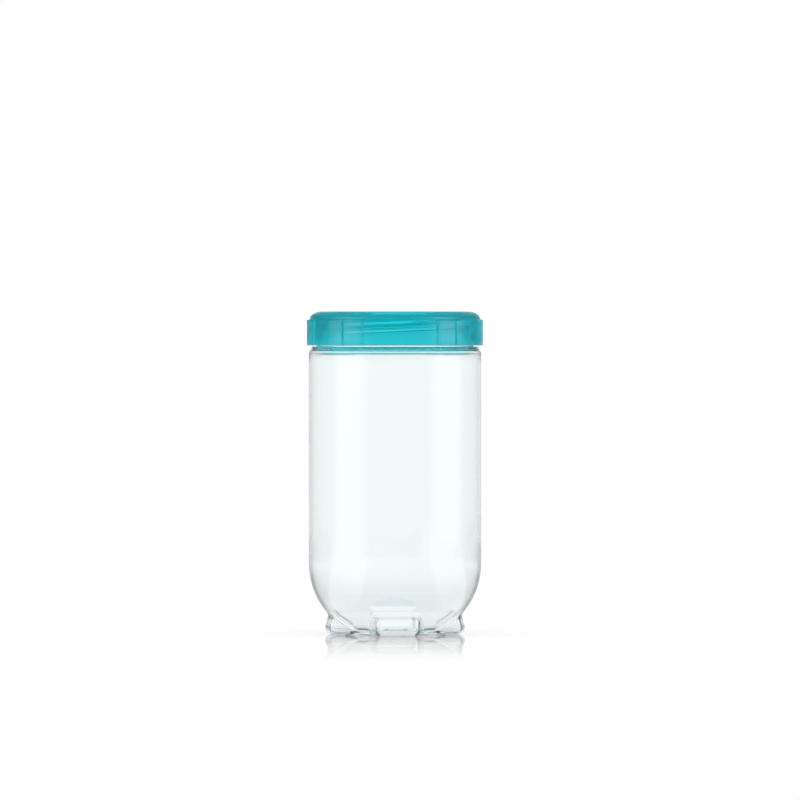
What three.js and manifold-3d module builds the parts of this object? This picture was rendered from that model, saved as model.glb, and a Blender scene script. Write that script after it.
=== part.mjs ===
// A screw-top food storage jar in millimetres, +Z up, standing on z = 0 with its axis on Z.
// A clear jar with a rounded bottom and four interlocking feet carries a two-start thread on its neck.
// A tinted screw lid closes it on a flat sealing ring, and a socket in the lid's top holds the feet of
// a second jar. The lid is drawn screwed home.
import * as THREE from "three";
import { mergeVertices } from "three/addons/utils/BufferGeometryUtils.js";
import Module from "manifold-3d";

const wasm = await Module();
wasm.setup();

const degree = Math.PI / 180;
const fullTurn = 2 * Math.PI;

// Jar body
const bodyRadius = 50;
const bodyWall = 1.6;
const sideTop = 163;
const floorThickness = 2.4;
const baseLift = 0.6;
const baseDish = 1.0;
const baseRingWidth = 4.3;
const coneReach = 7.5;
const coneAngle = 50.5 * degree;

// Shoulder and neck
const shoulderRise = 3.7;
const shoulderInset = 1.9;
const shoulderThickness = 2.2;
const neckHeight = 16.4;
const neckWall = 2.0;
const neckRound = 0.5;

// Screw thread, shared by jar and lid
const threadStarts = 2;
const threadPitch = 5.8;
const threadHeight = 1.6;
const threadRootWidth = 2.2;
const threadCrestWidth = 1.2;
const threadClearance = 0.6;
const threadTopLand = 1.3;
const jarThreadTurns = 0.845;
const jarThreadEnd = 103 * degree;
const lidThreadTurns = 0.5;
const lidThreadEnd = -2.5 * degree;

// Lid shell
const bodyProud = 0.7;
const skirtWall = 1.7;
const skirtGap = 0.7;
const skirtEdge = 0.3;
const topThickness = 2.0;
const rimRound = 4.0;
const rimReach = 7.0;
const channelBevel = 1.0;
const lidPhase = 1.7 * degree;

// Grip bands round the lid, one on each side, with four pads on each
const bandCount = 2;
const bandSpan = 127.8 * degree;
const padSpan = 15 * degree;
const padPlaces = [-41.35 * degree, -11.3 * degree, 11.3 * degree, 41.35 * degree];
const bandStep = 0.9;
const padStep = 0.9;
const gripBevel = 0.4;
const gripHeight = 15.2;

// Stacking socket in the lid's top
const plugClearance = 0.6;
const cupWall = 1.4;
const cupFloor = 1.6;
const cupRound = 1.5;
const socketDepth = 10;
const socketEdge = 0.4;
const lugCount = 4;
const lugThickness = 1.4;
const lugSpan = 44 * degree;
const lugClearance = 0.3;

// Sealing ring
const sealThickness = 1.3;
const sealGap = 0.3;
const sealEdge = 0.25;

// Feet
const footCount = 4;
const stackClearance = 0.9;
const footReach = 14.2;
const footToe = 2.2;
const footHeel = 2.3;
const footHeight = 11;
const footBulge = 4;
const footLean = 1.9;
const footHalfWidth = 12.6;
const footFlareShare = 0.22;
const footWall = 1.8;

// Fineness of the facets
const latheSegments = 60;
const bowlSteps = 8;
const roundSteps = 4;
const rimSteps = 7;
const threadStepsPerTurn = 48;
const runOutSteps = 3;

// Radii, worked out from the body inwards
const skirtRadius = bodyRadius - bodyProud;
const skirtInner = skirtRadius - skirtWall;
const threadCrest = skirtInner - threadClearance;
const neckRadius = threadCrest - threadHeight;
const mouthRadius = neckRadius - neckWall;
const cupOuter = mouthRadius - plugClearance;
const cupInner = cupOuter - cupWall;
const footRadius = cupInner - stackClearance;
const baseRadius = footRadius - footReach;
const innerRadius = bodyRadius - bodyWall;

// Heights, worked out from the ground up
const floorTop = baseLift + floorThickness;
const ledgeHeight = sideTop + shoulderRise;
const neckTop = ledgeHeight + neckHeight;
const sealBottom = neckTop + sealGap;
const sealTop = sealBottom + sealThickness;
const lidUnderside = sealTop + sealGap;
const lidTop = lidUnderside + topThickness;
const lidBottom = ledgeHeight + skirtGap;
const socketFloor = lidTop - socketDepth;
const cupBottom = socketFloor - cupFloor;
const threadLead = threadPitch * threadStarts;

// Round bottom: a cone rises from the base ring and runs into an arc that ends upright at the side
const coneTopRadius = baseRadius + coneReach;
const coneTopHeight = baseLift + coneReach / Math.tan(coneAngle);
const bowlRadius = (bodyRadius - coneTopRadius) / (1 - Math.cos(coneAngle));
const bowlCentreRadius = bodyRadius - bowlRadius;
const bowlCentreHeight = coneTopHeight + bowlRadius * Math.sin(coneAngle);

const clearPlastic = new THREE.MeshStandardMaterial({
  color: 0xeef5f7, roughness: 0.06, metalness: 0, transparent: true, opacity: 0.35,
});
const tintedPlastic = new THREE.MeshStandardMaterial({
  color: 0x24b3c0, roughness: 0.22, metalness: 0, transparent: true, opacity: 0.85,
});
const silicone = new THREE.MeshStandardMaterial({ color: 0xe9eeee, roughness: 0.55, metalness: 0 });

// Points [radius, height] along an arc about a centre, from one angle to another
function arc(centreRadius, centreHeight, radius, from, to, steps) {
  return Array.from({ length: steps + 1 }, (_, i) => {
    const angle = from + ((to - from) * i) / steps;
    return [centreRadius + radius * Math.cos(angle), centreHeight + radius * Math.sin(angle)];
  });
}

// The closed solid of a geometry
function solid(geometry) {
  geometry.deleteAttribute("normal");
  geometry.deleteAttribute("uv");
  const merged = mergeVertices(geometry);
  const triVerts = new Uint32Array(merged.index.array);
  const vertProperties = new Float32Array(merged.attributes.position.array);
  return new wasm.Manifold(new wasm.Mesh({ numProp: 3, vertProperties, triVerts }));
}

// A profile of [radius, height] points turned about Z, listed anticlockwise with the radius to the right
function turned(profile) {
  const points = profile.map(([radius, height]) => new THREE.Vector2(radius, height));
  return solid(new THREE.LatheGeometry(points, latheSegments).rotateX(Math.PI / 2));
}

// A slab of a ring between two radii, centred on an angle, with every edge bevelled
function ringSector(inner, outer, middle, span, bottom, height, bevel) {
  const shape = new THREE.Shape();
  shape.absarc(0, 0, outer, middle - span / 2, middle + span / 2, false);
  shape.absarc(0, 0, inner, middle + span / 2, middle - span / 2, true);
  shape.closePath();
  const curveSegments = Math.max(2, Math.round((latheSegments * span) / fullTurn));
  const geometry = new THREE.ExtrudeGeometry(shape, {
    depth: height - 2 * bevel,
    curveSegments,
    bevelSize: bevel,
    bevelOffset: -bevel,
    bevelThickness: bevel,
    bevelSegments: 1,
  });
  return solid(geometry.translate(0, 0, bottom + bevel));
}

// A ridge of the thread, climbing to endHeight at endAngle. Outward ridges stand on a surface of
// the given radius, inward ones hang inside it. Both fade into the wall at their ends.
function threadRidge(surface, outward, endAngle, endHeight, turns) {
  const steps = Math.round(threadStepsPerTurn * turns);
  const side = outward ? 1 : -1;
  const bite = neckWall / 3;
  const positions = [];
  for (let i = 0; i <= steps; i += 1) {
    const back = ((steps - i) / steps) * turns;
    const angle = endAngle - back * fullTurn;
    const middle = endHeight - back * threadLead;
    const rise = Math.min(1, i / runOutSteps, (steps - i) / runOutSteps);
    const root = surface - side * bite;
    const crest = surface + side * (threadHeight * rise - (bite / 2) * (1 - rise));
    const section = [
      [root, middle - threadRootWidth / 2],
      [crest, middle - threadCrestWidth / 2],
      [crest, middle + threadCrestWidth / 2],
      [root, middle + threadRootWidth / 2],
    ];
    for (const [radius, height] of section) {
      positions.push(radius * Math.cos(angle), radius * Math.sin(angle), height);
    }
  }
  const sides = 4;
  const faces = [];
  const quad = (a, b, c, d) => faces.push(...(outward ? [a, b, c, a, c, d] : [a, c, b, a, d, c]));
  for (let i = 0; i < steps; i += 1) {
    for (let k = 0; k < sides; k += 1) {
      const next = (k + 1) % sides;
      quad(i * sides + k, (i + 1) * sides + k, (i + 1) * sides + next, i * sides + next);
    }
  }
  const last = steps * sides;
  quad(0, 1, 2, 3);
  quad(last + 3, last + 2, last + 1, last);
  const geometry = new THREE.BufferGeometry();
  geometry.setAttribute("position", new THREE.Float32BufferAttribute(positions, 3));
  geometry.setIndex(faces);
  return solid(geometry);
}

// Every start of one thread, joined to a wall
function addThread(wall, surface, outward, endAngle, endHeight, turns) {
  let joined = wall;
  for (let start = 0; start < threadStarts; start += 1) {
    const turn = (fullTurn * start) / threadStarts;
    joined = joined.add(threadRidge(surface, outward, endAngle + turn, endHeight, turns));
  }
  return joined;
}

// Jar: one moulding, filled outside shape first, then hollowed
function jarBody() {
  const shoulderShares = [[0, 0], [0.16, 0.19], [0.74, 0.62], [0.9, 0.8], [1, 1]];
  const outside = [
    [0, baseLift + baseDish],
    [baseRadius - 2 * baseRingWidth, baseLift + baseDish],
    [baseRadius - baseRingWidth, baseLift],
    [baseRadius, baseLift],
    ...arc(bowlCentreRadius, bowlCentreHeight, bowlRadius, -coneAngle, 0, bowlSteps),
    ...shoulderShares.map(([inset, rise]) => [
      bodyRadius - inset * shoulderInset, sideTop + rise * shoulderRise,
    ]),
    [neckRadius, ledgeHeight],
    [neckRadius, neckTop - neckRound],
    [neckRadius - neckRound, neckTop],
    [0, neckTop],
  ];
  return turned(outside);
}

function jarCavity() {
  const coneDrop = coneTopHeight + bodyWall * Math.sin(coneAngle) - floorTop;
  const floorRadius = coneTopRadius - bodyWall * Math.cos(coneAngle) - coneDrop * Math.tan(coneAngle);
  const mouthStart = ledgeHeight - shoulderThickness;
  const inside = [
    [0, floorTop],
    [floorRadius, floorTop],
    ...arc(bowlCentreRadius, bowlCentreHeight, bowlRadius - bodyWall, -coneAngle, 0, bowlSteps),
    [innerRadius, mouthStart - (innerRadius - mouthRadius)],
    [mouthRadius, mouthStart],
    [mouthRadius, neckTop - neckRound],
    [mouthRadius + neckRound, neckTop],
    [mouthRadius + neckRound, neckTop + neckRound],
    [0, neckTop + neckRound],
  ];
  return turned(inside);
}

// A foot under the bowl, or the hollow inside it when a wall is given: its plan widens towards the
// axis, and its rounded face leans in above the toe
function footSolid(wall) {
  const rootRadius = baseRadius - footHeel + wall;
  const faceRadius = footRadius - wall;
  const lean = footLean / (footHeight - footBulge);
  const buried = footHeight + footHeel;
  const toe = new THREE.QuadraticBezierCurve(
    new THREE.Vector2(faceRadius - footToe, wall),
    new THREE.Vector2(faceRadius, (wall + footBulge) / 2),
    new THREE.Vector2(faceRadius, footBulge),
  );
  const face = turned([
    [0, wall],
    ...toe.getPoints(roundSteps).map((point) => point.toArray()),
    [faceRadius - lean * (buried - footBulge), buried],
    [0, buried],
  ]);
  const corner = Math.sqrt(footRadius ** 2 - footHalfWidth ** 2);
  const halfWidth = (reach) => footHalfWidth - wall + footFlareShare * (corner - reach);
  const plan = new THREE.Shape();
  plan.moveTo(rootRadius, -halfWidth(rootRadius));
  plan.lineTo(bodyRadius, -halfWidth(bodyRadius));
  plan.lineTo(bodyRadius, halfWidth(bodyRadius));
  plan.lineTo(rootRadius, halfWidth(rootRadius));
  plan.closePath();
  return solid(new THREE.ExtrudeGeometry(plan, { depth: buried, bevelEnabled: false })).intersect(face);
}

function jar() {
  let whole = jarBody();
  let cavity = jarCavity();
  for (let i = 0; i < footCount; i += 1) {
    const turn = [0, 0, (360 * i) / footCount];
    whole = whole.add(footSolid(0).rotate(turn));
    cavity = cavity.add(footSolid(footWall).rotate(turn));
  }
  whole = addThread(whole, neckRadius, true, jarThreadEnd, neckTop - threadTopLand, jarThreadTurns);
  return whole.subtract(cavity);
}

// Lid: skirt, rim, and the cup of the stacking socket, which reaches down into the jar's mouth
function lidShell() {
  const outline = [
    [0, cupBottom],
    [cupOuter - cupRound, cupBottom],
    [cupOuter, cupBottom + cupRound],
    [cupOuter, lidUnderside],
    [skirtInner - channelBevel, lidUnderside],
    [skirtInner, lidUnderside - channelBevel],
    [skirtInner, lidBottom + skirtEdge],
    [skirtInner + skirtEdge, lidBottom],
    [skirtRadius - skirtEdge, lidBottom],
    [skirtRadius, lidBottom + skirtEdge],
    ...arc(0, 0, 1, 0, Math.PI / 2, rimSteps).map(([across, up]) => [
      skirtRadius - rimReach * (1 - across), lidTop - rimRound * (1 - up),
    ]),
    [cupInner + socketEdge, lidTop],
    [cupInner, lidTop - socketEdge],
    [cupInner, socketFloor + socketEdge],
    [cupInner - socketEdge, socketFloor],
    [0, socketFloor],
  ];
  return turned(outline);
}

function lid() {
  let whole = lidShell();
  const bite = skirtWall / 2;
  const addGrip = (radius, middle, span) => {
    whole = whole.add(ringSector(skirtRadius - bite, radius, middle, span, lidBottom, gripHeight, gripBevel));
  };
  for (let i = 0; i < bandCount; i += 1) {
    const middle = (fullTurn * i) / bandCount;
    const bandRadius = skirtRadius + bandStep;
    addGrip(bandRadius, middle, bandSpan);
    for (const place of padPlaces) {
      addGrip(bandRadius + padStep, middle + place, padSpan);
    }
  }
  const lugHeight = socketDepth - lugThickness;
  const faceLean = footLean / (footHeight - footBulge);
  const lugInner = footRadius - faceLean * (lugHeight - footBulge) + lugClearance;
  for (let i = 0; i < lugCount; i += 1) {
    const at = (fullTurn * (i + 0.5)) / lugCount;
    const bottom = lidTop - lugThickness;
    whole = whole.add(ringSector(lugInner, cupInner + cupWall / 2, at, lugSpan, bottom, lugThickness, 0));
  }
  const jarHeightAtLidEnd = neckTop - threadTopLand - (threadLead * (jarThreadEnd - lidThreadEnd)) / fullTurn;
  const lidThreadTop = jarHeightAtLidEnd + threadPitch / 2;
  whole = whole.rotate([0, 0, lidPhase / degree]);
  return addThread(whole, skirtInner, false, lidThreadEnd, lidThreadTop, lidThreadTurns);
}

// Flat ring that lies in the lid's channel, over the rim of the neck
function sealingRing() {
  const inner = cupOuter + sealGap;
  const outer = skirtInner - channelBevel;
  return turned([
    [inner, sealBottom + sealEdge],
    [inner + sealEdge, sealBottom],
    [outer - sealEdge, sealBottom],
    [outer, sealBottom + sealEdge],
    [outer, sealTop - sealEdge],
    [outer - sealEdge, sealTop],
    [inner + sealEdge, sealTop],
    [inner, sealTop - sealEdge],
    [inner, sealBottom + sealEdge],
  ]);
}

function named(name, shape, material) {
  const { vertProperties, triVerts, numProp } = shape.getMesh();
  const geometry = new THREE.BufferGeometry();
  geometry.setAttribute("position", new THREE.BufferAttribute(vertProperties.slice(), numProp));
  geometry.setIndex(new THREE.BufferAttribute(triVerts.slice(), 1));
  geometry.computeVertexNormals();
  const mesh = new THREE.Mesh(geometry, material);
  mesh.name = name;
  return mesh;
}

const container = new THREE.Group();
container.add(named("jar", jar(), clearPlastic));
container.add(named("lid", lid(), tintedPlastic));
container.add(named("sealing_ring", sealingRing(), silicone));

export default container;
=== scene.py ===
import math

import bpy
import numpy as np
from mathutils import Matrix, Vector


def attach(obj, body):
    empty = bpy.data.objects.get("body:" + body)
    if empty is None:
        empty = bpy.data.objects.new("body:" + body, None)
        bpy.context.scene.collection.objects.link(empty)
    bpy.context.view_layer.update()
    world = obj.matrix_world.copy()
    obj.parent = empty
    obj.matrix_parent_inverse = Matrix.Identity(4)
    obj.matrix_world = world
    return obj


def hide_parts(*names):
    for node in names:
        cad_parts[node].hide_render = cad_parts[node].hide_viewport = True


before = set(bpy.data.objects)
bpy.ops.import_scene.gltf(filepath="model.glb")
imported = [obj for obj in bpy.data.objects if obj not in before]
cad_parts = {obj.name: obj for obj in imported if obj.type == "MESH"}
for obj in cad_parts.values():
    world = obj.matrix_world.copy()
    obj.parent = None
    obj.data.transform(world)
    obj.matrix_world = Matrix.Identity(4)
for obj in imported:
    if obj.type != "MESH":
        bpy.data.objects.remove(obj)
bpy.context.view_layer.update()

# Sizes are in millimetres, as in the CAD source. Meshes are scaled to metres when they are made.
MM = 0.001
DEG = math.pi / 180
TURN = 2 * math.pi

# Jar body
BODY_RADIUS = 50
BODY_WALL = 1.6
SIDE_TOP = 163
FLOOR_THICKNESS = 2.4
BASE_LIFT = 0.6
BASE_DISH = 1.0
BASE_RING_WIDTH = 4.3
BASE_RING_INSET = 0.9
BASE_RING_ROUND = 2
DISH_ROUND = 5
BASE_RADIUS = 26.3
CONE_REACH = 7.5
CONE_ANGLE = 50.5 * DEG

# Shoulder and neck
LEDGE = 166.7
SHOULDER_INSET = 1.9
SHOULDER_LIP = 0.35
SHOULDER_LIP_ROUND = 0.6
SHOULDER_BEND = 2.3
SHOULDER_BEND_SHARE = 0.74
SHOULDER_BEND_ROUND = 2.5
SHOULDER_THICKNESS = 2.2
LEDGE_ROUND = 0.35
NECK_FOOT_ROUND = 0.6
NECK_RADIUS = 45.4
MOUTH_RADIUS = 43.4
NECK_TOP = 183.1
NECK_ROUND = 0.6

# Thread
THREAD_PITCH = 5.8
THREAD_LEAD = 11.6
THREAD_HEIGHT = 1.6
RIDGE_FOOT = 1.5
RIDGE_CREST = 0.35
JAR_THREAD_TURNS = 0.845
JAR_THREAD_END = 103
JAR_THREAD_TOP = NECK_TOP - 1.3
LID_THREAD_TURNS = 0.5
LID_THREAD_END = -2.5
RUN_OUT = 14

# Feet, with the widths over which their sides, heel and sole blend into each other
FOOT_RADIUS = 40.5
FOOT_ROOT = 24.0
FOOT_TOE = 2.2
FOOT_BULGE = 4
FOOT_LEAN = 1.9 / 7
FOOT_HALF_WIDTH = 12.6
FOOT_FLARE = 0.22
FOOT_WALL = 1.6
FOOT_SIDE_BLEND = 1.2
FOOT_HEEL_BLEND = 0.8
FOOT_SOLE_BLEND = 2.2

# Widths over which the bowl blends into its flat bottom and into the feet, outside and inside
BOTTOM_BLEND = 0.6
FOOT_BLEND = 1.6
INNER_BLEND = 3

# Lid
SKIRT_RADIUS = 49.3
SKIRT_INNER = 47.6
SKIRT_EDGE = 0.35
LID_BOTTOM = 167.4
LID_TOP = 187
LID_UNDERSIDE = 185
CHANNEL_ROUND = 1.0
CHANNEL_INNER_ROUND = 0.5
RIM_ROUND = 4.0
RIM_REACH = 7.2
CUP_OUTER = 42.8
CUP_INNER = 41.4
CUP_BOTTOM = 175.4
CUP_ROUND = 1.6
SOCKET_FLOOR = 177.0
SOCKET_EDGE = 0.3
SOCKET_ROUND = 1.0
LID_PHASE = 1.2
BAND_MIDDLES = (LID_PHASE, LID_PHASE + 180)
BAND_EDGES = (64.3, 49.7, 34.9, 19.2, 3.9)
GRIP_EDGE = 0.9
SOFT_EDGE = 1.4
GROOVE_PLACE = 35.8
GROOVE_DEPTH = 0.3
BAND_STEP = 0.9
PAD_STEP = 0.9
GRIP_TOP = 182.6
GRIP_BEVEL = 0.55
LUG_MIDDLES = [LID_PHASE + 45 + 90 * k for k in range(4)]
LUG_SPAN = 44
LUG_EDGE = 1.4
LUG_INNER = 39.55
LUG_THICKNESS = 1.4
LUG_ROUND = 0.25
LUG_RELIEF = 0.2
LUG_DRAFT = 0.04

# Sealing ring
SEAL_INNER = 43.1
SEAL_OUTER = 46.6
SEAL_BOTTOM = 183.4
SEAL_TOP = 184.7
SEAL_EDGE = 0.3
SEAL_SEAM = (SEAL_TOP - 0.6, SEAL_TOP - 0.5)
SEAL_POINTS = 200

CONE_TOP_RADIUS = BASE_RADIUS + CONE_REACH
CONE_TOP_HEIGHT = BASE_LIFT + CONE_REACH / math.tan(CONE_ANGLE)
BOWL_RADIUS = (BODY_RADIUS - CONE_TOP_RADIUS) / (1 - math.cos(CONE_ANGLE))
BOWL_CENTRE = (BODY_RADIUS - BOWL_RADIUS, CONE_TOP_HEIGHT + BOWL_RADIUS * math.sin(CONE_ANGLE))
FLOOR_TOP = BASE_LIFT + FLOOR_THICKNESS


# Profiles and rows of points

def arc(centre, radius, start, end, steps):
    """Points (radius, height) along an arc, with its angles in degrees."""
    return [
        (centre[0] + radius * math.cos(a * DEG), centre[1] + radius * math.sin(a * DEG))
        for a in np.linspace(start, end, steps + 1)
    ]


def rounded(corners, steps=5):
    """A line through corners (radius, height, fillet) with its fillets as arcs."""
    out = []
    for i, (r, z, fillet) in enumerate(corners):
        here = np.array((r, z), float)
        if not fillet or i in (0, len(corners) - 1):
            out.append(tuple(here))
            continue
        before = np.array(corners[i - 1][:2], float) - here
        after = np.array(corners[i + 1][:2], float) - here
        before, after = before / np.linalg.norm(before), after / np.linalg.norm(after)
        half = math.acos(np.clip(before @ after, -1, 1)) / 2
        reach = fillet / math.tan(half)
        middle = before + after
        centre = here + middle / np.linalg.norm(middle) * fillet / math.sin(half)
        first, last = here + before * reach - centre, here + after * reach - centre
        span = math.acos(np.clip(first @ last / fillet**2, -1, 1))
        for t in np.linspace(0, 1, steps + 1):
            point = (first * math.sin((1 - t) * span) + last * math.sin(t * span)) / math.sin(span)
            out.append(tuple(centre + point))
    return out


def angles(count):
    return np.arange(count) * TURN / count


def ring(radius, height, at):
    """A row of points at the given angles. Radius and height are numbers or one value per angle."""
    radius, height = radius + 0 * at, height + 0 * at
    return np.stack([radius * np.cos(at), radius * np.sin(at), height], 1)


def rings(profile, at):
    """A row of points for each (radius, height) of a profile."""
    return [ring(r, z, at) for r, z in profile]


def pole(height):
    return np.array([[0.0, 0.0, height]])


def stitch(rows, closed=False):
    """Vertices and faces between neighbouring rows.

    A row may have half or twice its neighbour's points, or be one point.
    """
    first = np.cumsum([0] + [len(r) for r in rows])
    faces = []
    pairs = list(zip(range(len(rows) - 1), range(1, len(rows))))
    if closed:
        pairs.append((len(rows) - 1, 0))
    for a, b in pairs:
        na, nb, fa, fb = len(rows[a]), len(rows[b]), int(first[a]), int(first[b])
        for j in range(max(na, nb) if 1 in (na, nb) else min(na, nb)):
            if na == 1:
                faces.append((fa, fb + (j + 1) % nb, fb + j))
            elif nb == 1:
                faces.append((fa + j, fa + (j + 1) % na, fb))
            elif na == nb:
                k = (j + 1) % na
                faces.append((fa + j, fa + k, fb + k, fb + j))
            elif nb == 2 * na:
                k = (j + 1) % na
                faces.append((fa + j, fa + k, fb + 2 * k, fb + 2 * j + 1))
                faces.append((fa + j, fb + 2 * j + 1, fb + 2 * j))
            else:
                k = (j + 1) % nb
                faces.append((fa + 2 * j + 1, fa + 2 * k, fb + k, fb + j))
                faces.append((fa + 2 * j, fa + 2 * j + 1, fb + j))
    return np.concatenate(rows), faces


def piece(name, rows, node, body, finish, closed=False):
    """A smooth mesh from rows of points that stands for a CAD node and rides on its body."""
    points, faces = stitch(rows, closed)
    mesh = bpy.data.meshes.new(name)
    mesh.from_pydata((points * MM).tolist(), [], faces)
    mesh.validate()
    mesh.shade_smooth()
    mesh.materials.append(finish)
    made = bpy.data.objects.new(name, mesh)
    bpy.context.scene.collection.objects.link(made)
    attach(made, body)
    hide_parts(node)
    return made


def smooth_step(x):
    x = np.clip(x, 0, 1)
    return x * x * (3 - 2 * x)


def smooth_max(a, b, width):
    share = np.maximum(width - np.abs(a - b), 0) / width
    return np.maximum(a, b) + share * share * width / 4


def smooth_min(a, b, width):
    return -smooth_max(-a, -b, width)


def thread_rise(at, height, end, top, turns):
    """How far the ridges of a two-start thread stand off their wall.

    Angles are in degrees, and top is the height of the first ridge's middle at its end.
    """
    rise = 0 * at
    span = 360 * turns
    for start in (0, 180):
        back = (end + start - at) % 360
        inside = back <= span
        middle = top - THREAD_LEAD * back / 360
        ends = smooth_step(back / RUN_OUT) * smooth_step((span - back) / RUN_OUT)
        off = np.abs(height - middle)
        ridge = smooth_step((RIDGE_FOOT - off) / (RIDGE_FOOT - RIDGE_CREST))
        rise = np.maximum(rise, np.where(inside, THREAD_HEIGHT * ends * ridge, 0))
    return rise


# Jar

# Points round a row, on plain walls, on the thread and inner feet, and on the outer feet
COARSE, MIDDLE, FINE = angles(180), angles(360), angles(720)

# Radii of the rows that close a disc, and where the base's rows double their points
DISH_START = 4
BASE_SEAM = (22.1, 22.3)
FLOOR_RINGS = (14, 8, 4)

# Heights where outlines start and end, just clear of their roundings
SHOULDER_START = SIDE_TOP - 0.4
NECK_START = LEDGE + 0.9
RIM_START = NECK_TOP - NECK_ROUND - 0.05
RIM_END = NECK_TOP - NECK_ROUND - 0.1

# Heights of the first and last row that carry the thread
RIDGE_ROWS_FROM, RIDGE_ROWS_TO = LEDGE + 1.1, NECK_TOP - NECK_ROUND

# Heights of the rows on straight walls, in the order in which they follow each other
SIDE_HEIGHTS = (44, 55, 75, 100, 125, 145, 157, 161, 162.4)
MOUTH_HEIGHTS = (180, 174, 169, 167.4)
INNER_SIDE_HEIGHTS = (157, 145, 125, 100, 75, 55, 44)

# Heights of the control points of the inner shoulder's cubic curve, over its underside
SHOULDER_CONTROLS = (2.5, 0.2, 0.7, -2.2)

# Rays that find the base's surfaces: their start on the axis, the lengths tried and how often
EYE_HEIGHT = 30.0
SHORTEST_RAY, LONGEST_RAY = 25.0, 62.0
HALVINGS = 34

# Angles under the horizon that the rays run through, in degrees, outside and inside
OUTER_DROPS = np.linspace(52.5, 22.5, 62)
INNER_DROPS = np.linspace(11, 58, 52)

# Where the rows of the inner bowl's arc end, in degrees
INNER_BOWL_END = -24

BOWL_STEPS = 14
INNER_BOWL_STEPS = 10
NECK_ROWS = 54
SHOULDER_ROWS = 14


def bowl_distance(r, z, wall=0.0, bottom=BASE_LIFT, blend=BOTTOM_BLEND):
    """Distance to the round bottom, or to its inner surface, negative inside."""
    arc_side = np.hypot(r - BOWL_CENTRE[0], z - BOWL_CENTRE[1]) - BOWL_RADIUS
    dr, dz = r - CONE_TOP_RADIUS, z - CONE_TOP_HEIGHT
    cone_side = dr * math.cos(CONE_ANGLE) - dz * math.sin(CONE_ANGLE)
    below = dr * math.sin(CONE_ANGLE) + dz * math.cos(CONE_ANGLE) < 0
    return smooth_max(np.where(below, cone_side, arc_side) + wall, bottom - z, blend)


def foot_distance(x, y, z):
    """Distance to the nearest foot, negative inside."""
    reach, across = np.maximum(np.abs(x), np.abs(y)), np.minimum(np.abs(x), np.abs(y))
    toe = np.clip(1 - z / FOOT_BULGE, 0, 1)
    face = FOOT_RADIUS - FOOT_TOE * toe**2 - FOOT_LEAN * np.maximum(z - FOOT_BULGE, 0)
    slope = np.where(z > FOOT_BULGE, FOOT_LEAN, 2 * FOOT_TOE / FOOT_BULGE * toe)
    front = (np.hypot(x, y) - face) / np.sqrt(1 + slope**2)
    corner = math.sqrt(FOOT_RADIUS**2 - FOOT_HALF_WIDTH**2)
    side = across - FOOT_HALF_WIDTH - FOOT_FLARE * (corner - reach)
    side = side / math.sqrt(1 + FOOT_FLARE**2)
    heel = (FOOT_ROOT + BASE_LIFT - reach - z) / math.sqrt(2)
    upright = smooth_max(front, side, FOOT_SIDE_BLEND)
    return smooth_max(smooth_max(upright, heel, FOOT_HEEL_BLEND), -z, FOOT_SOLE_BLEND)


def outer_base(x, y, z):
    return smooth_min(bowl_distance(np.hypot(x, y), z), foot_distance(x, y, z), FOOT_BLEND)


def inner_base(x, y, z):
    bowl = bowl_distance(np.hypot(x, y), z, BODY_WALL, FLOOR_TOP, INNER_BLEND)
    return smooth_min(bowl, foot_distance(x, y, z) + FOOT_WALL, INNER_BLEND)


def base_rows(surface, drops, at):
    """Rows where rays from a point on the axis meet a surface over the bowl, base ring and feet."""
    rows = []
    for drop in drops * DEG:
        run, fall = math.cos(drop), -math.sin(drop)
        near, far = np.full(len(at), SHORTEST_RAY), np.full(len(at), LONGEST_RAY)
        for _ in range(HALVINGS):
            mid = (near + far) / 2
            reach = mid * run
            inside = surface(reach * np.cos(at), reach * np.sin(at), EYE_HEIGHT + mid * fall) < 0
            near, far = np.where(inside, mid, near), np.where(inside, far, mid)
        rows.append(ring(near * run, np.maximum(EYE_HEIGHT + near * fall, 0), at))
    return rows


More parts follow.
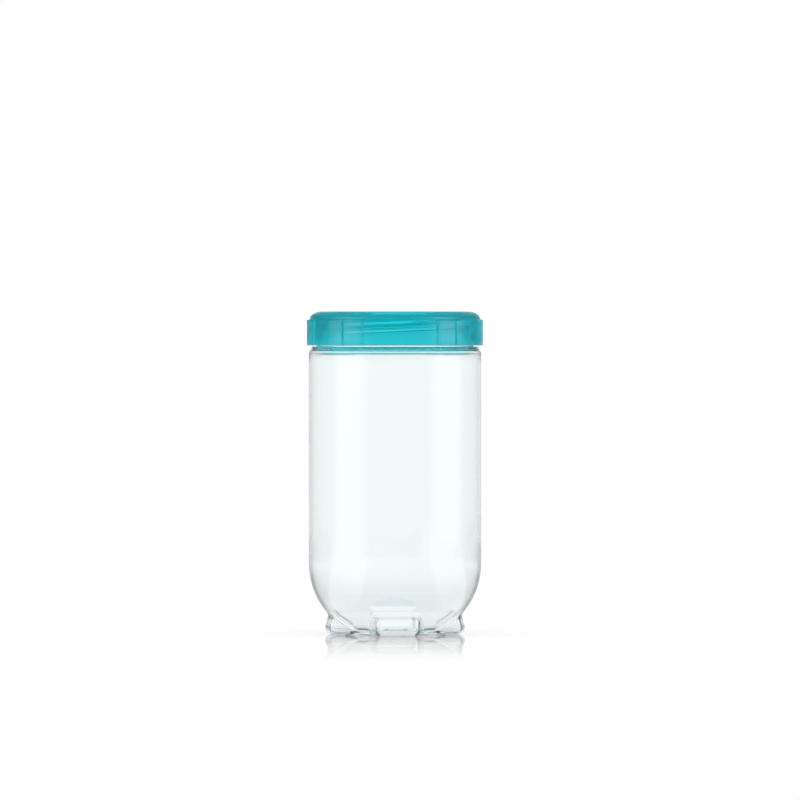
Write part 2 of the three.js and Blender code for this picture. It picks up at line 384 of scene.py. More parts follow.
def outer_jar_rows():
    """From the middle of the base's underside, up the outside, to the neck's top."""
    dish = rounded([
        (DISH_START, BASE_LIFT + BASE_DISH, 0),
        (BASE_RADIUS - 2 * BASE_RING_WIDTH, BASE_LIFT + BASE_DISH, DISH_ROUND),
        (BASE_RADIUS - BASE_RING_WIDTH - BASE_RING_INSET, BASE_LIFT, BASE_RING_ROUND),
        (BASE_SEAM[0], BASE_LIFT, 0),
    ])
    rows = [pole(BASE_LIFT + BASE_DISH)] + rings(dish, COARSE)
    rows.append(ring(BASE_SEAM[1], BASE_LIFT, MIDDLE))
    rows += base_rows(outer_base, OUTER_DROPS, FINE)
    x, y, z = rows[-1][3]
    start = math.degrees(math.atan2(z - BOWL_CENTRE[1], math.hypot(x, y) - BOWL_CENTRE[0]))
    bowl = arc(BOWL_CENTRE, BOWL_RADIUS, start, 0, BOWL_STEPS)[1:]
    rows.append(ring(*bowl[0], MIDDLE))
    rows += rings(bowl[1:], COARSE)
    rows += [ring(BODY_RADIUS, z, COARSE) for z in SIDE_HEIGHTS]
    bend_radius = BODY_RADIUS - SHOULDER_BEND_SHARE * SHOULDER_INSET
    shoulder = rounded([
        (BODY_RADIUS, SHOULDER_START, 0),
        (BODY_RADIUS, SIDE_TOP + SHOULDER_LIP, SHOULDER_LIP_ROUND),
        (bend_radius, SIDE_TOP + SHOULDER_BEND, SHOULDER_BEND_ROUND),
        (BODY_RADIUS - SHOULDER_INSET, LEDGE, LEDGE_ROUND),
        (NECK_RADIUS, LEDGE, NECK_FOOT_ROUND),
        (NECK_RADIUS, NECK_START, 0),
    ])
    rows += rings(shoulder, COARSE)
    degrees = MIDDLE / DEG
    for height in np.linspace(RIDGE_ROWS_FROM, RIDGE_ROWS_TO, NECK_ROWS):
        rise = thread_rise(degrees, height, JAR_THREAD_END, JAR_THREAD_TOP, JAR_THREAD_TURNS)
        rows.append(ring(NECK_RADIUS + rise, height, MIDDLE))
    return rows


def inner_jar_rows():
    """From the neck's top, down the inside, to the middle of the floor."""
    rim = rounded([
        (NECK_RADIUS, RIM_START, 0),
        (NECK_RADIUS, NECK_TOP, NECK_ROUND),
        (MOUTH_RADIUS, NECK_TOP, NECK_ROUND),
        (MOUTH_RADIUS, RIM_END, 0),
    ])[1:]
    rows = rings(rim, COARSE)
    inner = BODY_RADIUS - BODY_WALL
    under = LEDGE - SHOULDER_THICKNESS
    rows += [ring(MOUTH_RADIUS, z, COARSE) for z in MOUTH_HEIGHTS]
    control_radii = (MOUTH_RADIUS, MOUTH_RADIUS, inner, inner)
    control_heights = [under + z for z in SHOULDER_CONTROLS]
    for t in np.linspace(0, 1, SHOULDER_ROWS):
        blend = ((1 - t) ** 3, 3 * t * (1 - t) ** 2, 3 * t * t * (1 - t), t**3)
        radius = sum(w * r for w, r in zip(blend, control_radii))
        height = sum(w * z for w, z in zip(blend, control_heights))
        rows.append(ring(radius, height, COARSE))
    rows += [ring(inner, z, COARSE) for z in INNER_SIDE_HEIGHTS]
    bowl = arc(BOWL_CENTRE, BOWL_RADIUS - BODY_WALL, 0, INNER_BOWL_END, INNER_BOWL_STEPS)
    rows += rings(bowl, COARSE)
    rows += base_rows(inner_base, INNER_DROPS, MIDDLE)
    rows += [ring(r, FLOOR_TOP, COARSE) for r in FLOOR_RINGS]
    rows.append(pole(FLOOR_TOP))
    return rows


# Lid

# Points round the lid: even steps, points close together about each edge, the room between the
# two and the least step, in degrees. Those about the grip's edges are shares of GRIP_EDGE.
EVEN_STEP = 2.0
GRIP_NEAR_SHARES = (-0.6, -0.4, -0.2, 0, 0.2, 0.4, 0.6)
LUG_NEAR = (-0.8, 0, 0.8)
CLEAR_OF_EDGES = 0.9
LEAST_STEP = 0.12

# Radii of the rows that close the socket's floor, inside and underneath
CENTRE_RINGS = (3, 6)

# Height where the channel's outline ends, and of the first and last row that carry the thread
CHANNEL_END = LID_UNDERSIDE - CHANNEL_ROUND - 0.1
LID_RIDGE_ROWS_FROM, LID_RIDGE_ROWS_TO = LID_UNDERSIDE - CHANNEL_ROUND - 0.3, LID_BOTTOM + 0.8

# The middle of the lugs' lower rounding, from its corner, and rows below the lugs
LUG_ROUND_MIDDLE = (0.08, 0.07)
BELOW_LUGS = (0.5, 1.2)
SOCKET_EDGE_ANGLES = (30, 60, 90)

# Heights of the rows on the grip's wall, and places of those on its upper bevel as shares
GRIP_HEIGHTS = (170, 172.5, 175.5, 178.5, 181)
BEVEL_SHARES = (0, 0.2, 0.4, 0.6, 0.8, 1)

LID_RIDGE_ROWS = 62
EDGE_STEPS = 4
RIM_STEPS = 18


def lid_angles():
    """Angles in degrees round the lid, close together at the edges of bands, pads and lugs."""
    edges = []
    for middle in BAND_MIDDLES:
        edges += [middle + side * off for off in (*BAND_EDGES, GROOVE_PLACE) for side in (-1, 1)]
    lugs = [middle + side * LUG_SPAN / 2 for middle in LUG_MIDDLES for side in (-1, 1)]
    near = [share * GRIP_EDGE for share in GRIP_NEAR_SHARES]
    tight = [e + d for e in edges for d in near] + [e + d for e in lugs for d in LUG_NEAR]
    tight = np.sort(np.array(tight) % 360)
    apart = lambda a, b: np.abs((a - b + 180) % 360 - 180)
    even = [a for a in np.arange(0, 360, EVEN_STEP) if apart(a, tight).min() > CLEAR_OF_EDGES]
    every = np.sort(np.concatenate([tight, even]))
    keep = [every[0]]
    for a in every[1:]:
        if a - keep[-1] > LEAST_STEP:
            keep.append(a)
    return np.array(keep)


def sector(at, middle, span, edge):
    """1 within a span about a middle angle, 0 outside it, with a smooth edge, all in degrees."""
    off = np.abs((at - middle + 180) % 360 - 180)
    return smooth_step((span / 2 - off) / edge + 0.5)


def grip(at):
    """How far bands and pads stand off the skirt round the lid."""
    out = 0 * at
    pads = ((*BAND_EDGES[1:3], GRIP_EDGE), (*BAND_EDGES[3:5], SOFT_EDGE))
    half = GRIP_EDGE / 2
    for middle in BAND_MIDDLES:
        out = out + BAND_STEP * sector(at, middle, 2 * BAND_EDGES[0], GRIP_EDGE)
        for far, near, edge in pads:
            for side in (-1, 1):
                place = middle + side * (far + near) / 2
                out = out + PAD_STEP * sector(at, place, far - near, edge)
        for side in (-1, 1):
            out = out - GROOVE_DEPTH * sector(at, middle + side * GROOVE_PLACE, half, half)
    return out


def lid_underside_rows(degrees):
    """From the middle of the socket's underside, through the channel, to the skirt's inner edge."""
    at = degrees * DEG
    cup = rounded([
        (CENTRE_RINGS[1], CUP_BOTTOM, 0),
        (CUP_OUTER, CUP_BOTTOM, CUP_ROUND),
        (CUP_OUTER, LID_UNDERSIDE, CHANNEL_INNER_ROUND),
        (SKIRT_INNER, LID_UNDERSIDE, CHANNEL_ROUND),
        (SKIRT_INNER, CHANNEL_END, 0),
    ], steps=4)
    rows = [pole(CUP_BOTTOM), ring(CENTRE_RINGS[0], CUP_BOTTOM, at)] + rings(cup, at)
    # The lid's ridges run midway between the jar's
    drop = THREAD_LEAD * (JAR_THREAD_END - LID_THREAD_END) / 360
    top = JAR_THREAD_TOP - drop + THREAD_PITCH / 2
    for height in np.linspace(LID_RIDGE_ROWS_FROM, LID_RIDGE_ROWS_TO, LID_RIDGE_ROWS):
        rise = thread_rise(degrees, height, LID_THREAD_END, top, LID_THREAD_TURNS)
        rows.append(ring(SKIRT_INNER - rise, height, at))
    for a in np.linspace(0, 90, EDGE_STEPS + 1) * DEG:
        radius = SKIRT_INNER + SKIRT_EDGE * (1 - math.cos(a))
        rows.append(ring(radius, LID_BOTTOM + SKIRT_EDGE - SKIRT_EDGE * math.sin(a), at))
    return rows


def lid_outside_rows(degrees):
    """From the skirt's outer edge, up over bands and pads, round the rim."""
    at = degrees * DEG
    proud = grip(degrees)
    rows = []
    edge = SKIRT_RADIUS + proud - SKIRT_EDGE
    for a in np.linspace(0, 90, EDGE_STEPS + 1) * DEG:
        rise = SKIRT_EDGE * (1 - math.cos(a))
        rows.append(ring(edge + SKIRT_EDGE * math.sin(a), LID_BOTTOM + rise, at))
    wall = [(z, 1.0) for z in GRIP_HEIGHTS]
    bevel = [(GRIP_TOP - GRIP_BEVEL * (1 - t), smooth_step(1 - t)) for t in BEVEL_SHARES]
    for height, share in wall + bevel:
        rows.append(ring(SKIRT_RADIUS + proud * share, height, at))
    for a in np.linspace(0, 90, RIM_STEPS + 1) * DEG:
        rim = SKIRT_RADIUS - RIM_REACH * (1 - math.cos(a))
        rows.append(ring(rim, LID_TOP - RIM_ROUND * (1 - math.sin(a)), at))
    return rows


def socket_rows(degrees):
    """From the rim, over the lugs and down under them, to the middle of the socket's floor."""
    at = degrees * DEG
    lug = sum(sector(degrees, middle, LUG_SPAN, LUG_EDGE) for middle in LUG_MIDDLES)
    inward = CUP_INNER - (CUP_INNER - LUG_INNER) * lug
    rows = [ring(inward + SOCKET_EDGE, LID_TOP, at)]
    for a in SOCKET_EDGE_ANGLES:
        radius = inward + SOCKET_EDGE - SOCKET_EDGE * math.sin(a * DEG)
        rows.append(ring(radius, LID_TOP - SOCKET_EDGE + SOCKET_EDGE * math.cos(a * DEG), at))
    below = LID_TOP - LUG_THICKNESS
    rows.append(ring(inward, below + LUG_ROUND, at))
    rows.append(ring(inward + LUG_ROUND_MIDDLE[0], below + LUG_ROUND_MIDDLE[1], at))
    rows.append(ring(inward + LUG_ROUND, below, at))
    root = CUP_INNER - LUG_RELIEF * lug + LUG_ROUND * (1 - lug)
    rows.append(ring(root, below - LUG_DRAFT, at))
    rows.append(ring(CUP_INNER, below - BELOW_LUGS[0], at))
    well = rounded([
        (CUP_INNER, below - BELOW_LUGS[1], 0),
        (CUP_INNER, SOCKET_FLOOR, SOCKET_ROUND),
        (CENTRE_RINGS[1], SOCKET_FLOOR, 0),
    ])
    rows += rings(well, at)
    return rows + [ring(CENTRE_RINGS[0], SOCKET_FLOOR, at), pole(SOCKET_FLOOR)]


def lid_rows():
    degrees = lid_angles()
    return lid_underside_rows(degrees) + lid_outside_rows(degrees) + socket_rows(degrees)


def seal_rows():
    """Once round the seal's section, starting and ending at a seam on its inner wall."""
    corners = [
        (SEAL_INNER, SEAL_SEAM[0], 0),
        (SEAL_INNER, SEAL_BOTTOM, SEAL_EDGE),
        (SEAL_OUTER, SEAL_BOTTOM, SEAL_EDGE),
        (SEAL_OUTER, SEAL_TOP, SEAL_EDGE),
        (SEAL_INNER, SEAL_TOP, SEAL_EDGE),
        (SEAL_INNER, SEAL_SEAM[1], 0),
    ]
    return rings(rounded(corners, steps=4), angles(SEAL_POINTS))


# Materials

def material(name):
    made = bpy.data.materials.new(name)
    made.use_nodes = True
    nodes, links = made.node_tree.nodes, made.node_tree.links
    shader = next(n for n in nodes if n.type == "BSDF_PRINCIPLED")
    return made, nodes, links, shader


def number(nodes, operation, *values):
    """A Math node with its inputs given as numbers or sockets."""
    made = nodes.new("ShaderNodeMath")
    made.operation = operation
    for socket, value in zip(made.inputs, values):
        if isinstance(value, (int, float)):
            socket.default_value = value
        else:
            nodes.id_data.links.new(value, socket)
    return made.outputs[0]


def vector(nodes, operation, value, output, other=None):
    """An output of a Vector Math node on a socket, and on a second vector if there is one."""
    made = nodes.new("ShaderNodeVectorMath")
    made.operation = operation
    nodes.id_data.links.new(value, made.inputs[0])
    if other:
        made.inputs[1].default_value = other
    return made.outputs[output]


def ramp(nodes, value, low, high, first, last):
    """A smooth step from first to last while value goes from low to high."""
    fit = nodes.new("ShaderNodeMapRange")
    fit.interpolation_type = "SMOOTHSTEP"
    for name, size in (("From Min", low), ("From Max", high), ("To Min", first), ("To Max", last)):
        fit.inputs[name].default_value = size
    nodes.id_data.links.new(value, fit.inputs["Value"])
    return fit.outputs["Result"]


def noise(nodes, links, scale, detail=3.0, stretch=(1, 1, 1)):
    """A noise over the piece's own coordinates, in metres."""
    place = nodes.new("ShaderNodeTexCoord")
    fit = nodes.new("ShaderNodeMapping")
    fit.inputs["Scale"].default_value = stretch
    links.new(place.outputs["Object"], fit.inputs["Vector"])
    field = nodes.new("ShaderNodeTexNoise")
    field.inputs["Scale"].default_value = scale
    field.inputs["Detail"].default_value = detail
    links.new(fit.outputs["Vector"], field.inputs["Vector"])
    return field.outputs["Fac"]


def height_of(nodes):
    """Height in the piece's own coordinates, in metres."""
    place = nodes.new("ShaderNodeTexCoord")
    split = nodes.new("ShaderNodeSeparateXYZ")
    nodes.id_data.links.new(place.outputs["Object"], split.inputs["Vector"])
    return split.outputs["Z"]


def spread(nodes, links, value, low, high, lowest=0.3, highest=0.7):
    """Maps a noise, which lies between lowest and highest, to a range of numbers."""
    fit = nodes.new("ShaderNodeMapRange")
    fit.inputs["From Min"].default_value = lowest
    fit.inputs["From Max"].default_value = highest
    fit.inputs["To Min"].default_value = low
    fit.inputs["To Max"].default_value = high
    links.new(value, fit.inputs["Value"])
    return fit.outputs["Result"]


def tones(nodes, links, value, first, second):
    """A noise turned to a colour between two tones."""
    mix = nodes.new("ShaderNodeMix")
    mix.data_type = "RGBA"
    mix.inputs["A"].default_value = (*first, 1)
    mix.inputs["B"].default_value = (*second, 1)
    links.new(spread(nodes, links, value, 0, 1), mix.inputs["Factor"])
    return mix.outputs["Result"]


def ripple(nodes, links, shader, value, depth, strength):
    """Uneven surface, depth in metres."""
    bump = nodes.new("ShaderNodeBump")
    bump.inputs["Strength"].default_value = strength
    bump.inputs["Distance"].default_value = depth
    links.new(value, bump.inputs["Height"])
    links.new(bump.outputs["Normal"], shader.inputs["Normal"])


def absorb(nodes, links, colour, density):
    """Darkens light by its way through the plastic."""
    volume = nodes.new("ShaderNodeVolumeAbsorption")
    volume.inputs["Color"].default_value = (*colour, 1)
    volume.inputs["Density"].default_value = density
    output = next(n for n in nodes if n.type == "OUTPUT_MATERIAL")
    links.new(volume.outputs["Volume"], output.inputs["Volume"])


# Scales of the noises, per metre, and how the two flows are stretched
CLEAR_FLOW, CLEAR_STRETCH = 18, (1, 1, 0.25)
TINTED_FLOW, TINTED_STRETCH = 30, (1, 1, 2.0)
CLEAR_MARKS = 90
TINTED_MARKS = 160
SEAL_CLOUD = 120
SEAL_GRAIN = 900
SMOOTH_DETAIL = 1.0
TINTED_MARKS_RANGE = (0.25, 0.75)

# Roughness
CLEAR_ROUGH = (0.015, 0.05)
FOOT_ROUGH = 0.03                       # added at the feet, fading out between these heights
FOOT_ROUGH_HEIGHTS = (0.012, 0.026)
TINTED_ROUGH = (0.278, 0.32)            # from 0.275 down the denoiser leaves grain in the lid
SEAL_ROUGH = (0.42, 0.6)

# Two tones for each plastic. The lid has two more pairs, each from a height upwards, and
# TONE_BLEND is how far below and above that height, in metres, they give way to each other.
CLEAR_TONES = ((0.988, 1.0, 1.0), (0.966, 0.996, 1.0))
SEAL_TONES = ((0.86, 0.89, 0.90), (0.78, 0.82, 0.84))
SKIRT_TONES = ((0.19, 0.865, 0.925), (0.15, 0.835, 0.895))
UPPER_TONES = (
    (CUP_BOTTOM, (0.11, 0.91, 0.97), (0.085, 0.885, 0.95)),
    (SEAL_BOTTOM - 2, (0.14, 0.95, 1.0), (0.11, 0.93, 0.99)),
)
TONE_BLEND = 0.002

# Bump as depth in metres and strength, and absorption as colour and density
CLEAR_RIPPLE = (0.0004, 0.08)
TINTED_RIPPLE = (0.0003, 0.15)
SEAL_RIPPLE = (0.0001, 0.2)
CLEAR_ABSORPTION = ((0.78, 0.91, 0.97), 20)
TINTED_ABSORPTION = ((0.0, 0.985, 0.995), 380)

CLEAR_IOR, TINTED_IOR, SEAL_IOR = 1.54, 1.42, 1.42
SEAL_TRANSMISSION = 0.35
COAT, COAT_ROUGH = 0.2, 0.06


def clear_plastic():
    made, nodes, links, shader = material("clear_plastic")
    flow = noise(nodes, links, CLEAR_FLOW, SMOOTH_DETAIL, CLEAR_STRETCH)
    links.new(tones(nodes, links, flow, *CLEAR_TONES), shader.inputs["Base Color"])
    rough = spread(nodes, links, noise(nodes, links, CLEAR_MARKS), *CLEAR_ROUGH)
    low = ramp(nodes, height_of(nodes), *FOOT_ROUGH_HEIGHTS, FOOT_ROUGH, 0)
    links.new(number(nodes, "ADD", rough, low), shader.inputs["Roughness"])
    shader.inputs["Transmission Weight"].default_value = 1
    shader.inputs["IOR"].default_value = CLEAR_IOR
    ripple(nodes, links, shader, flow, *CLEAR_RIPPLE)
    absorb(nodes, links, *CLEAR_ABSORPTION)
    return made


def tinted_plastic():
    made, nodes, links, shader = material("tinted_plastic")
    flow = noise(nodes, links, TINTED_FLOW, SMOOTH_DETAIL, TINTED_STRETCH)
    tone = tones(nodes, links, flow, *SKIRT_TONES)
    for level, first, second in UPPER_TONES:
        mix = nodes.new("ShaderNodeMix")
        mix.data_type = "RGBA"
        links.new(tone, mix.inputs["A"])
        links.new(tones(nodes, links, flow, first, second), mix.inputs["B"])
        middle = level * MM
        upper = ramp(nodes, height_of(nodes), middle - TONE_BLEND, middle + TONE_BLEND, 0, 1)
        links.new(upper, mix.inputs["Factor"])
        tone = mix.outputs["Result"]
    links.new(tone, shader.inputs["Base Color"])
    marks = noise(nodes, links, TINTED_MARKS, SMOOTH_DETAIL)
    rough = spread(nodes, links, marks, *TINTED_ROUGH, *TINTED_MARKS_RANGE)
    links.new(rough, shader.inputs["Roughness"])
    shader.inputs["Transmission Weight"].default_value = 1
    shader.inputs["IOR"].default_value = TINTED_IOR
    shader.inputs["Coat Weight"].default_value = COAT
    shader.inputs["Coat Roughness"].default_value = COAT_ROUGH
    ripple(nodes, links, shader, flow, *TINTED_RIPPLE)
    absorb(nodes, links, *TINTED_ABSORPTION)
    return made


def silicone():
    made, nodes, links, shader = material("silicone")
    cloud = noise(nodes, links, SEAL_CLOUD)
    links.new(tones(nodes, links, cloud, *SEAL_TONES), shader.inputs["Base Color"])
    links.new(spread(nodes, links, cloud, *SEAL_ROUGH), shader.inputs["Roughness"])
    shader.inputs["Transmission Weight"].default_value = SEAL_TRANSMISSION
    shader.inputs["IOR"].default_value = SEAL_IOR
    ripple(nodes, links, shader, noise(nodes, links, SEAL_GRAIN), *SEAL_RIPPLE)
    return made


jar_rows = outer_jar_rows() + inner_jar_rows()
jar_shell = piece("jar_shell", jar_rows, "jar", "jar", clear_plastic())
lid_cap = piece("lid_cap", lid_rows(), "lid", "lid", tinted_plastic())
piece("seal_ring", seal_rows(), "sealing_ring", "sealing_ring", silicone(), closed=True)


# Studio. The floor and the world are white for the camera and through the plastic, save for painted
# shade on the floor near the object. Gloss shows a dimmer set: two soft boxes, a backdrop and a
# darker table. Sizes here are in metres and angles in degrees, from the front for azimuths.

# Floor. Between NEAR and FAR, as distances from the jar's axis, a level fades in or out.
FLOOR_HALF = 1.8
FLOOR_GAP = -0.00003
FLOOR_WHITE = 0.97
FLOOR_ROUGH = 0.9
SHEEN_ROUGH = 0.004
MIRROR_POWER = 6                        # how fast the image fades towards a view from above
MIRROR_NEAR, MIRROR_FAR, MIRROR_LEVEL = 0.03, 0.38, 0.9
SHADOW_NEAR, SHADOW_FAR, SHADOW_LEVEL = 0.04, 0.10, 0.6
# Painted contact shadow: the floor is darkened under the object for every ray that sees it, fading
# out further off
CONTACT_SHADOW_NEAR, CONTACT_SHADOW_FAR, CONTACT_SHADOW_LEVEL = 0.036, 0.043, 0.7

# The floor as seen through the plastic, with a painted shadow that dims it near the object
SHADE_NEAR, SHADE_FAR, SHADE_LEVEL = 0.05, 1.0, 0.81

# The floor as seen in the gloss, from TABLE_NEAR outwards, with a painted shade near the object and
# painted reflections of the soft boxes
TABLE_NEAR, TABLE_FAR, TABLE_LEVEL = 0.041, 0.047, 0.6
# Painted shade on the floor near the object, shown in the gloss and fading out further off
GLOSS_SHADE_NEAR, GLOSS_SHADE_FAR, GLOSS_SHADE_LEVEL = 0.05, 0.09, -0.22
GLOSS_SHADE_END_NEAR, GLOSS_SHADE_END_FAR = 0.2, 0.7
# Painted reflections of the soft boxes on the floor, shown in the gloss
BOX_NEAR, BOX_FAR, BOX_SHARE = 0.04, 0.08, 1.4

# Soft boxes and backdrop: azimuths, edges of the glow as angles from its middle, and levels
BOX_AZIMUTHS = (-66, 72)
BOX_EDGE, BOX_CORE, BOX_LEVEL = 31, 5, 1.2
BOX_HEIGHT = 0.05
BACKDROP_AZIMUTH = 5
BACKDROP_EDGE, BACKDROP_CORE, BACKDROP_LEVEL = 32, 10, 0.65
GLOSS_LEVEL = 0.1

SURROUND_RADIUS = 12.0
SURROUND_STEPS = 48

# Camera, with the width of its view at the jar and its sensor's width in millimetres
CAMERA_AZIMUTH, CAMERA_DISTANCE, CAMERA_ASIDE = -2.5, 4.6, 0.0029
CAMERA_HEIGHT, AIM_HEIGHT = 0.182, 0.1357
VIEW_WIDTH = 0.464
SENSOR = 36


def reflected(nodes):
    """1 for a ray that a surface has just thrown back, 0 for any other ray."""
    path = nodes.new("ShaderNodeLightPath")
    thrown = number(
        nodes, "SUBTRACT", path.outputs["Is Glossy Ray"], path.outputs["Is Transmission Ray"]
    )
    return number(nodes, "MAXIMUM", thrown, 0)


def soft_boxes(nodes, direction, height):
    """The glow of two soft boxes in this direction, with their middles at this height."""
    edge, core = math.cos(BOX_EDGE * DEG), math.cos(BOX_CORE * DEG)
    glow = 0
    for azimuth in BOX_AZIMUTHS:
        middle = (math.sin(azimuth * DEG), -math.cos(azimuth * DEG), height)
        side = vector(nodes, "DOT_PRODUCT", direction, "Value", middle)
        glow = number(nodes, "ADD", ramp(nodes, side, edge, core, 0, BOX_LEVEL), glow)
    return glow


def floor_level(nodes, place, distance, path):
    """How bright the white floor is for this ray, with a painted contact shadow under the object, a
    painted shadow seen through the plastic, and in the gloss a painted shade and painted
    reflections of the soft boxes.
    """
    # Painted reflections of the two soft boxes on the floor, by azimuth round the jar, shown in the
    # gloss
    flat = vector(nodes, "NORMALIZE", place, "Vector")
    near = ramp(nodes, distance, BOX_NEAR, BOX_FAR, 0, BOX_SHARE)
    boxes = number(nodes, "MULTIPLY", soft_boxes(nodes, flat, 0), near)
    # Painted shade on the floor near the object, shown in the gloss
    gloss_shade = number(
        nodes, "MULTIPLY",
        ramp(nodes, distance, GLOSS_SHADE_NEAR, GLOSS_SHADE_FAR, 0, GLOSS_SHADE_LEVEL),
        ramp(nodes, distance, GLOSS_SHADE_END_NEAR, GLOSS_SHADE_END_FAR, 1, 0),
    )
    gloss = number(nodes, "ADD", boxes, number(nodes, "ADD", gloss_shade, TABLE_LEVEL - 1))
    thrown = number(nodes, "MINIMUM", path.outputs["Glossy Depth"], 1)
    gloss = number(nodes, "MULTIPLY", thrown, gloss)
    # Painted shadow on the floor as seen through the plastic
    shade = ramp(nodes, distance, SHADE_NEAR, SHADE_FAR, SHADE_LEVEL - 1, 0)
    through = number(nodes, "MULTIPLY", path.outputs["Is Transmission Ray"], shade)
    change = number(nodes, "MINIMUM", gloss, through)
    table = ramp(nodes, distance, TABLE_NEAR, TABLE_FAR, 0, 1)
    level = number(nodes, "MULTIPLY_ADD", change, table, 1)
    # Painted contact shadow under the object
    painted_contact_shadow = ramp(nodes, distance, CONTACT_SHADOW_NEAR, CONTACT_SHADOW_FAR, CONTACT_SHADOW_LEVEL, 1)
    return number(nodes, "MULTIPLY", level, painted_contact_shadow)


def floor_material():
    """White where it is seen, with the object's shadow, partly lit for real and partly painted near
    the object, and a mirror image that fades outwards.
    """
    made, nodes, links, shader = material("floor")
    output = next(n for n in nodes if n.type == "OUTPUT_MATERIAL")
    shader.inputs["Base Color"].default_value = (FLOOR_WHITE, FLOOR_WHITE, FLOOR_WHITE, 1)
    shader.inputs["Roughness"].default_value = FLOOR_ROUGH
    shader.inputs["Specular IOR Level"].default_value = 0
    place = nodes.new("ShaderNodeTexCoord").outputs["Object"]
    distance = vector(nodes, "LENGTH", place, "Value")
    path = nodes.new("ShaderNodeLightPath")
    white = nodes.new("ShaderNodeEmission")
    links.new(floor_level(nodes, place, distance, path), white.inputs["Strength"])

    # Lit as a plain floor for all other rays, and for the camera by a share near the object
    seen = number(nodes, "MAXIMUM", path.outputs["Is Camera Ray"], path.outputs["Is Glossy Ray"])
    seen = number(nodes, "MAXIMUM", seen, path.outputs["Is Transmission Ray"])
    shadow = ramp(nodes, distance, SHADOW_NEAR, SHADOW_FAR, SHADOW_LEVEL, 0)
    shadow = number(nodes, "MULTIPLY", shadow, path.outputs["Is Camera Ray"])
    share = number(nodes, "MULTIPLY", seen, number(nodes, "SUBTRACT", 1, shadow))
    lit = nodes.new("ShaderNodeMixShader")
    links.new(share, lit.inputs["Fac"])
    links.new(shader.outputs["BSDF"], lit.inputs[1])
    links.new(white.outputs["Emission"], lit.inputs[2])

    sheen = nodes.new("ShaderNodeBsdfGlossy")
    sheen.inputs["Roughness"].default_value = SHEEN_ROUGH
    grazing = nodes.new("ShaderNodeLayerWeight")
    grazing.inputs["Blend"].default_value = 0.5
    amount = number(nodes, "POWER", grazing.outputs["Facing"], MIRROR_POWER)
    fading = ramp(nodes, distance, MIRROR_NEAR, MIRROR_FAR, MIRROR_LEVEL, 0)
    top = nodes.new("ShaderNodeMixShader")
    links.new(number(nodes, "MULTIPLY", amount, fading), top.inputs["Fac"])
    links.new(lit.outputs["Shader"], top.inputs[1])
    links.new(sheen.outputs["BSDF"], top.inputs[2])
    links.new(top.outputs["Shader"], output.inputs["Surface"])
    return made


def floor():
    mesh = bpy.data.meshes.new("floor")
    signs = ((-1, -1), (1, -1), (1, 1), (-1, 1))
    corners = [(x * FLOOR_HALF, y * FLOOR_HALF, FLOOR_GAP) for x, y in signs]
    mesh.from_pydata(corners, [], [(0, 1, 2, 3)])
    mesh.materials.append(floor_material())
    made = bpy.data.objects.new("floor", mesh)
    bpy.context.scene.collection.objects.link(made)
    return made


def surround(name, level, receivers, low=-1.0, tall=9.0, half=180, middle=0):
    """A wall of light round the set that only the gloss of the receivers shows.

    It stands half an angle to either side of a middle azimuth, and a full circle has a roof.
    """
    steps = SURROUND_STEPS
    at = np.linspace(middle - half, middle + half, steps + 1) * DEG
    points = [
        (SURROUND_RADIUS * math.sin(a), -SURROUND_RADIUS * math.cos(a), z)
        for z in (low, tall) for a in at
    ]
    faces = [(k, k + 1, steps + k + 2, steps + k + 1) for k in range(steps)]
    if half == 180:
        points.append((0, 0, tall))
        faces += [(steps + k + 1, steps + k + 2, 2 * steps + 2) for k in range(steps)]
    mesh = bpy.data.meshes.new(name)
    mesh.from_pydata(points, [], faces)
    look = bpy.data.materials.new(name)
    look.use_nodes = True
    look.cycles.emission_sampling = "NONE"
    nodes, links = look.node_tree.nodes, look.node_tree.links
    nodes.clear()
    glow = nodes.new("ShaderNodeEmission")
    links.new(number(nodes, "MULTIPLY", reflected(nodes), level), glow.inputs["Strength"])
    both = nodes.new("ShaderNodeAddShader")
    links.new(glow.outputs["Emission"], both.inputs[0])
    links.new(nodes.new("ShaderNodeBsdfTransparent").outputs["BSDF"], both.inputs[1])
    output = nodes.new("ShaderNodeOutputMaterial")
    links.new(both.outputs["Shader"], output.inputs["Surface"])
    mesh.materials.append(look)
    made = bpy.data.objects.new(name, mesh)
    bpy.context.scene.collection.objects.link(made)
    for kind in ("camera", "diffuse", "transmission", "volume_scatter", "shadow"):
        setattr(made, "visible_" + kind, False)
    lit = bpy.data.collections.new(name)
    for receiver in receivers:
        lit.objects.link(receiver)
    made.light_linking.receiver_collection = lit


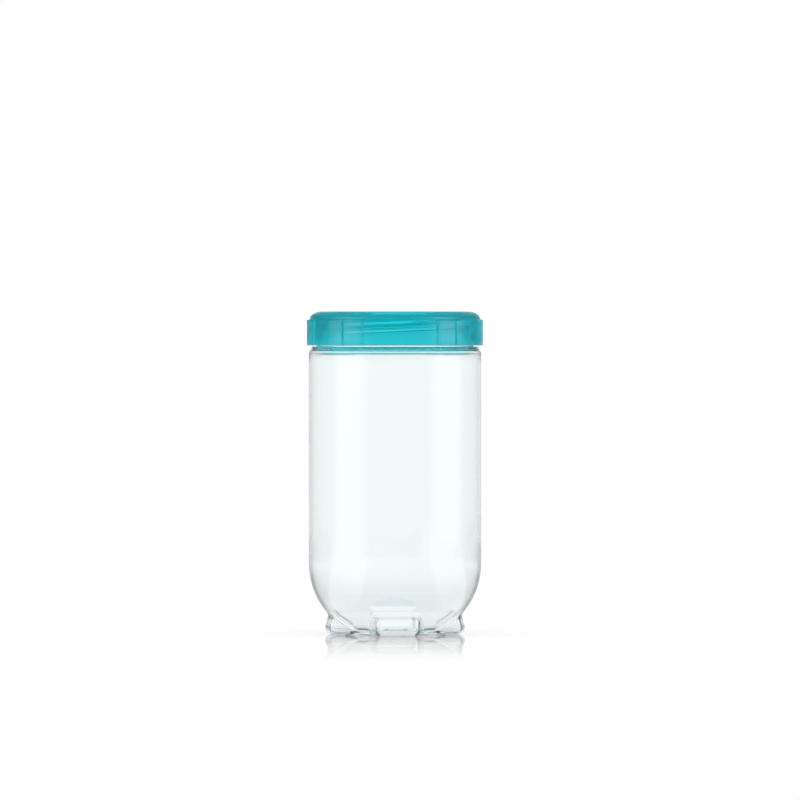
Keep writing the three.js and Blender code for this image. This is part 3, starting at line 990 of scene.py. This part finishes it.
def studio_world():
    """White to the eye and through glass. Gloss shows a dimmer studio with its soft boxes."""
    world = bpy.data.worlds.new("studio")
    bpy.context.scene.world = world
    world.use_nodes = True
    nodes, links = world.node_tree.nodes, world.node_tree.links
    direction = nodes.new("ShaderNodeTexCoord").outputs["Generated"]
    gloss = soft_boxes(nodes, direction, BOX_HEIGHT)
    middle = (math.sin(BACKDROP_AZIMUTH * DEG), math.cos(BACKDROP_AZIMUTH * DEG), 0)
    behind = vector(nodes, "DOT_PRODUCT", direction, "Value", middle)
    edge, core = math.cos(BACKDROP_EDGE * DEG), math.cos(BACKDROP_CORE * DEG)
    backdrop = ramp(nodes, behind, edge, core, GLOSS_LEVEL, BACKDROP_LEVEL)
    gloss = number(nodes, "ADD", gloss, backdrop)
    gloss = number(nodes, "SUBTRACT", gloss, 1)
    strength = number(nodes, "MULTIPLY_ADD", gloss, reflected(nodes), 1)
    light = next(n for n in nodes if n.type == "BACKGROUND")
    light.inputs["Color"].default_value = (1, 1, 1, 1)
    links.new(strength, light.inputs["Strength"])


def camera():
    """The photograph's view: level with the lid, a long way off, a little off the front foot."""
    data = bpy.data.cameras.new("camera")
    data.sensor_width = SENSOR
    data.lens = SENSOR * CAMERA_DISTANCE / VIEW_WIDTH
    made = bpy.data.objects.new("camera", data)
    turn = CAMERA_AZIMUTH * DEG
    back = Vector((math.sin(turn), -math.cos(turn), 0))
    right = Vector((math.cos(turn), math.sin(turn), 0))
    target = right * CAMERA_ASIDE + Vector((0, 0, AIM_HEIGHT))
    made.location = target + back * CAMERA_DISTANCE
    made.location.z = CAMERA_HEIGHT
    made.rotation_euler = (target - made.location).to_track_quat("-Z", "Y").to_euler()
    bpy.context.scene.collection.objects.link(made)
    bpy.context.scene.camera = made


ground = floor()
surround("jar_surround", 0.4, [jar_shell, ground])
surround("floor_surround", 0.6, [ground])
surround("front_glow", 2.4, [jar_shell], low=4.8, tall=9.6, half=40)
surround("left_glow", 0.8, [lid_cap], half=22, middle=-80)
surround("right_glow", 0.7, [lid_cap], half=22, middle=73)
studio_world()
camera()

scene = bpy.context.scene
scene.view_settings.view_transform = "Standard"
scene.cycles.max_bounces = 40
scene.cycles.transmission_bounces = 36
scene.cycles.glossy_bounces = 16
scene.cycles.transparent_max_bounces = 16
